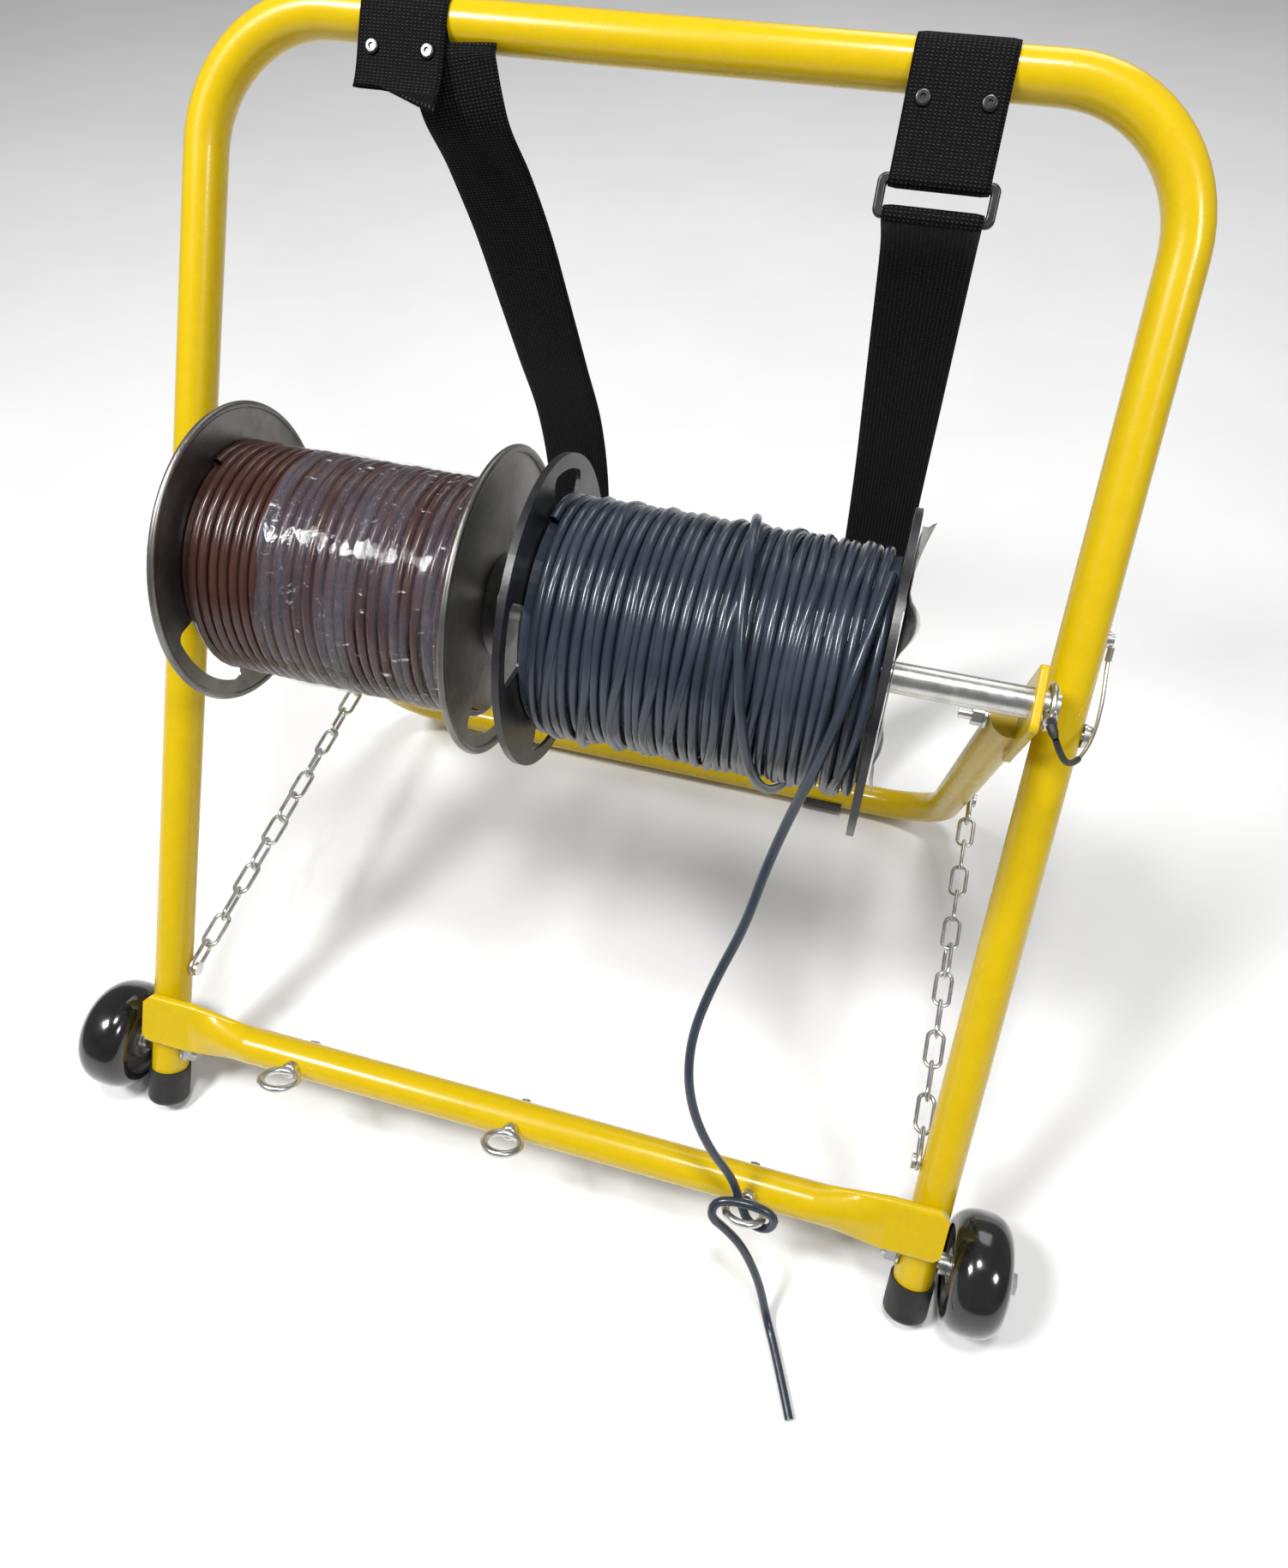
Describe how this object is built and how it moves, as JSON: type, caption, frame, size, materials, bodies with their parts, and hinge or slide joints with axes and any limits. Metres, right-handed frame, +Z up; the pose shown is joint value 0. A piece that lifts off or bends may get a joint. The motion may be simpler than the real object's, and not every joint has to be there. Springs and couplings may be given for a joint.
{
  "type": "wire feeder",
  "caption": "Folding tube stand on wheels that carries wire spools on a cross axle and feeds the wire through guide rings, with shoulder straps.",
  "frame": {"origin": "on the floor at the footprint's centre", "axes": "+X to the stand's right seen from the front, +Y to the back, +Z up; the guide rings and wheels are at the front (-Y)"},
  "size_m": [0.6704, 0.579, 0.5993],
  "materials": {
    "yellow_paint": "gloss",
    "zinc": "satin",
    "black_rubber": "satin",
    "wheel_tyre": "gloss",
    "wheel_hub": "matte",
    "webbing": "woven",
    "black_plastic": "satin",
    "pressed_steel": "dull",
    "brown_wire": "gloss",
    "grey_wire": "gloss",
    "clear_film": "wrinkled",
    "label_paper": "torn",
    "cardboard": "plain"
  },
  "bodies": {
    "front_stand": {"front_frame": "yellow_paint", "lower_crossbar": "yellow_paint", "leg_cap_left": "black_rubber", "wheel_bolt_left": "zinc", "pivot_bolt_left": "zinc", "strap_loop_left": "webbing", "shoulder_strap_left": "webbing", "chain_left": "zinc", "leg_cap_right": "black_rubber", "wheel_bolt_right": "zinc", "pivot_bolt_right": "zinc", "strap_loop_right": "webbing", "shoulder_strap_right": "webbing", "chain_right": "zinc", "guide_ring_left": "zinc", "guide_ring_middle": "zinc", "guide_ring_right": "zinc", "guide_ring_nuts": "zinc", "wheel_fasteners": "zinc", "pivot_fasteners": "zinc", "strap_rivets": "zinc", "front_chain_screws": "zinc", "lanyard_terminal": "zinc", "lanyard_cable": "zinc", "strap_slider": "black_plastic", "grey_wire_tail": "grey_wire"},
    "rear_stand": {"rear_frame": "yellow_paint", "axle_plate_left": "yellow_paint", "axle_plate_right": "yellow_paint", "rear_foot_left": "black_rubber", "rear_foot_right": "black_rubber", "strap_end_rivets": "zinc", "spool_axle": "zinc", "rear_chain_screws": "zinc", "ring_pin_left": "zinc", "ring_pin_right": "zinc", "lanyard_heat_shrink": "black_rubber"},
    "wheel_left": {"tyre_left": "wheel_tyre", "wheel_hub_left": "wheel_hub", "wheel_bearings_left": "zinc"},
    "wheel_right": {"tyre_right": "wheel_tyre", "wheel_hub_right": "wheel_hub", "wheel_bearings_right": "zinc"},
    "brown_spool": {"brown_spool_flange_left": "pressed_steel", "brown_spool_flange_right": "pressed_steel", "brown_spool_core": "cardboard", "brown_wire_winding": "brown_wire", "brown_spool_film": "clear_film"},
    "grey_spool": {"grey_spool_flange_left": "black_plastic", "grey_spool_flange_right": "black_plastic", "grey_spool_core": "black_plastic", "grey_spool_label": "label_paper", "grey_wire_winding": "grey_wire"},
    "lock_ring_left": {"pin_ring_left": "zinc"},
    "lock_ring_right": {"pin_ring_right": "zinc"}
  },
  "joints": [
    {"name": "fold", "type": "hinge", "parent": "front_stand", "child": "rear_stand", "pos_m": [0, -0.00806, 0.32697], "axis": [-1, 0, 0], "range_deg": [0, 44], "deforming": ["chain_left", "chain_right", "shoulder_strap_left", "shoulder_strap_right"]},
    {"name": "wheel_left_spin", "type": "hinge", "parent": "front_stand", "child": "wheel_left", "pos_m": [-0.31, -0.21584, 0.04098], "axis": [1, 0, 0], "continuous": true},
    {"name": "wheel_right_spin", "type": "hinge", "parent": "front_stand", "child": "wheel_right", "pos_m": [0.31, -0.21584, 0.04098], "axis": [1, 0, 0], "continuous": true},
    {"name": "brown_spool_spin", "type": "hinge", "parent": "rear_stand", "child": "brown_spool", "pos_m": [-0.126, -0.03106, 0.36681], "axis": [1, 0, 0], "continuous": true},
    {"name": "grey_spool_spin", "type": "hinge", "parent": "rear_stand", "child": "grey_spool", "pos_m": [0.08, -0.03106, 0.36681], "axis": [1, 0, 0], "continuous": true},
    {"name": "lock_ring_left_flip", "type": "hinge", "parent": "rear_stand", "child": "lock_ring_left", "pos_m": [-0.26, -0.04246, 0.36986], "axis": [0, 0.2588, 0.9659], "range_deg": [0, 100]},
    {"name": "lock_ring_right_flip", "type": "hinge", "parent": "rear_stand", "child": "lock_ring_right", "pos_m": [0.26, -0.04246, 0.36986], "axis": [0, -0.2588, -0.9659], "range_deg": [0, 100]}
  ]
}
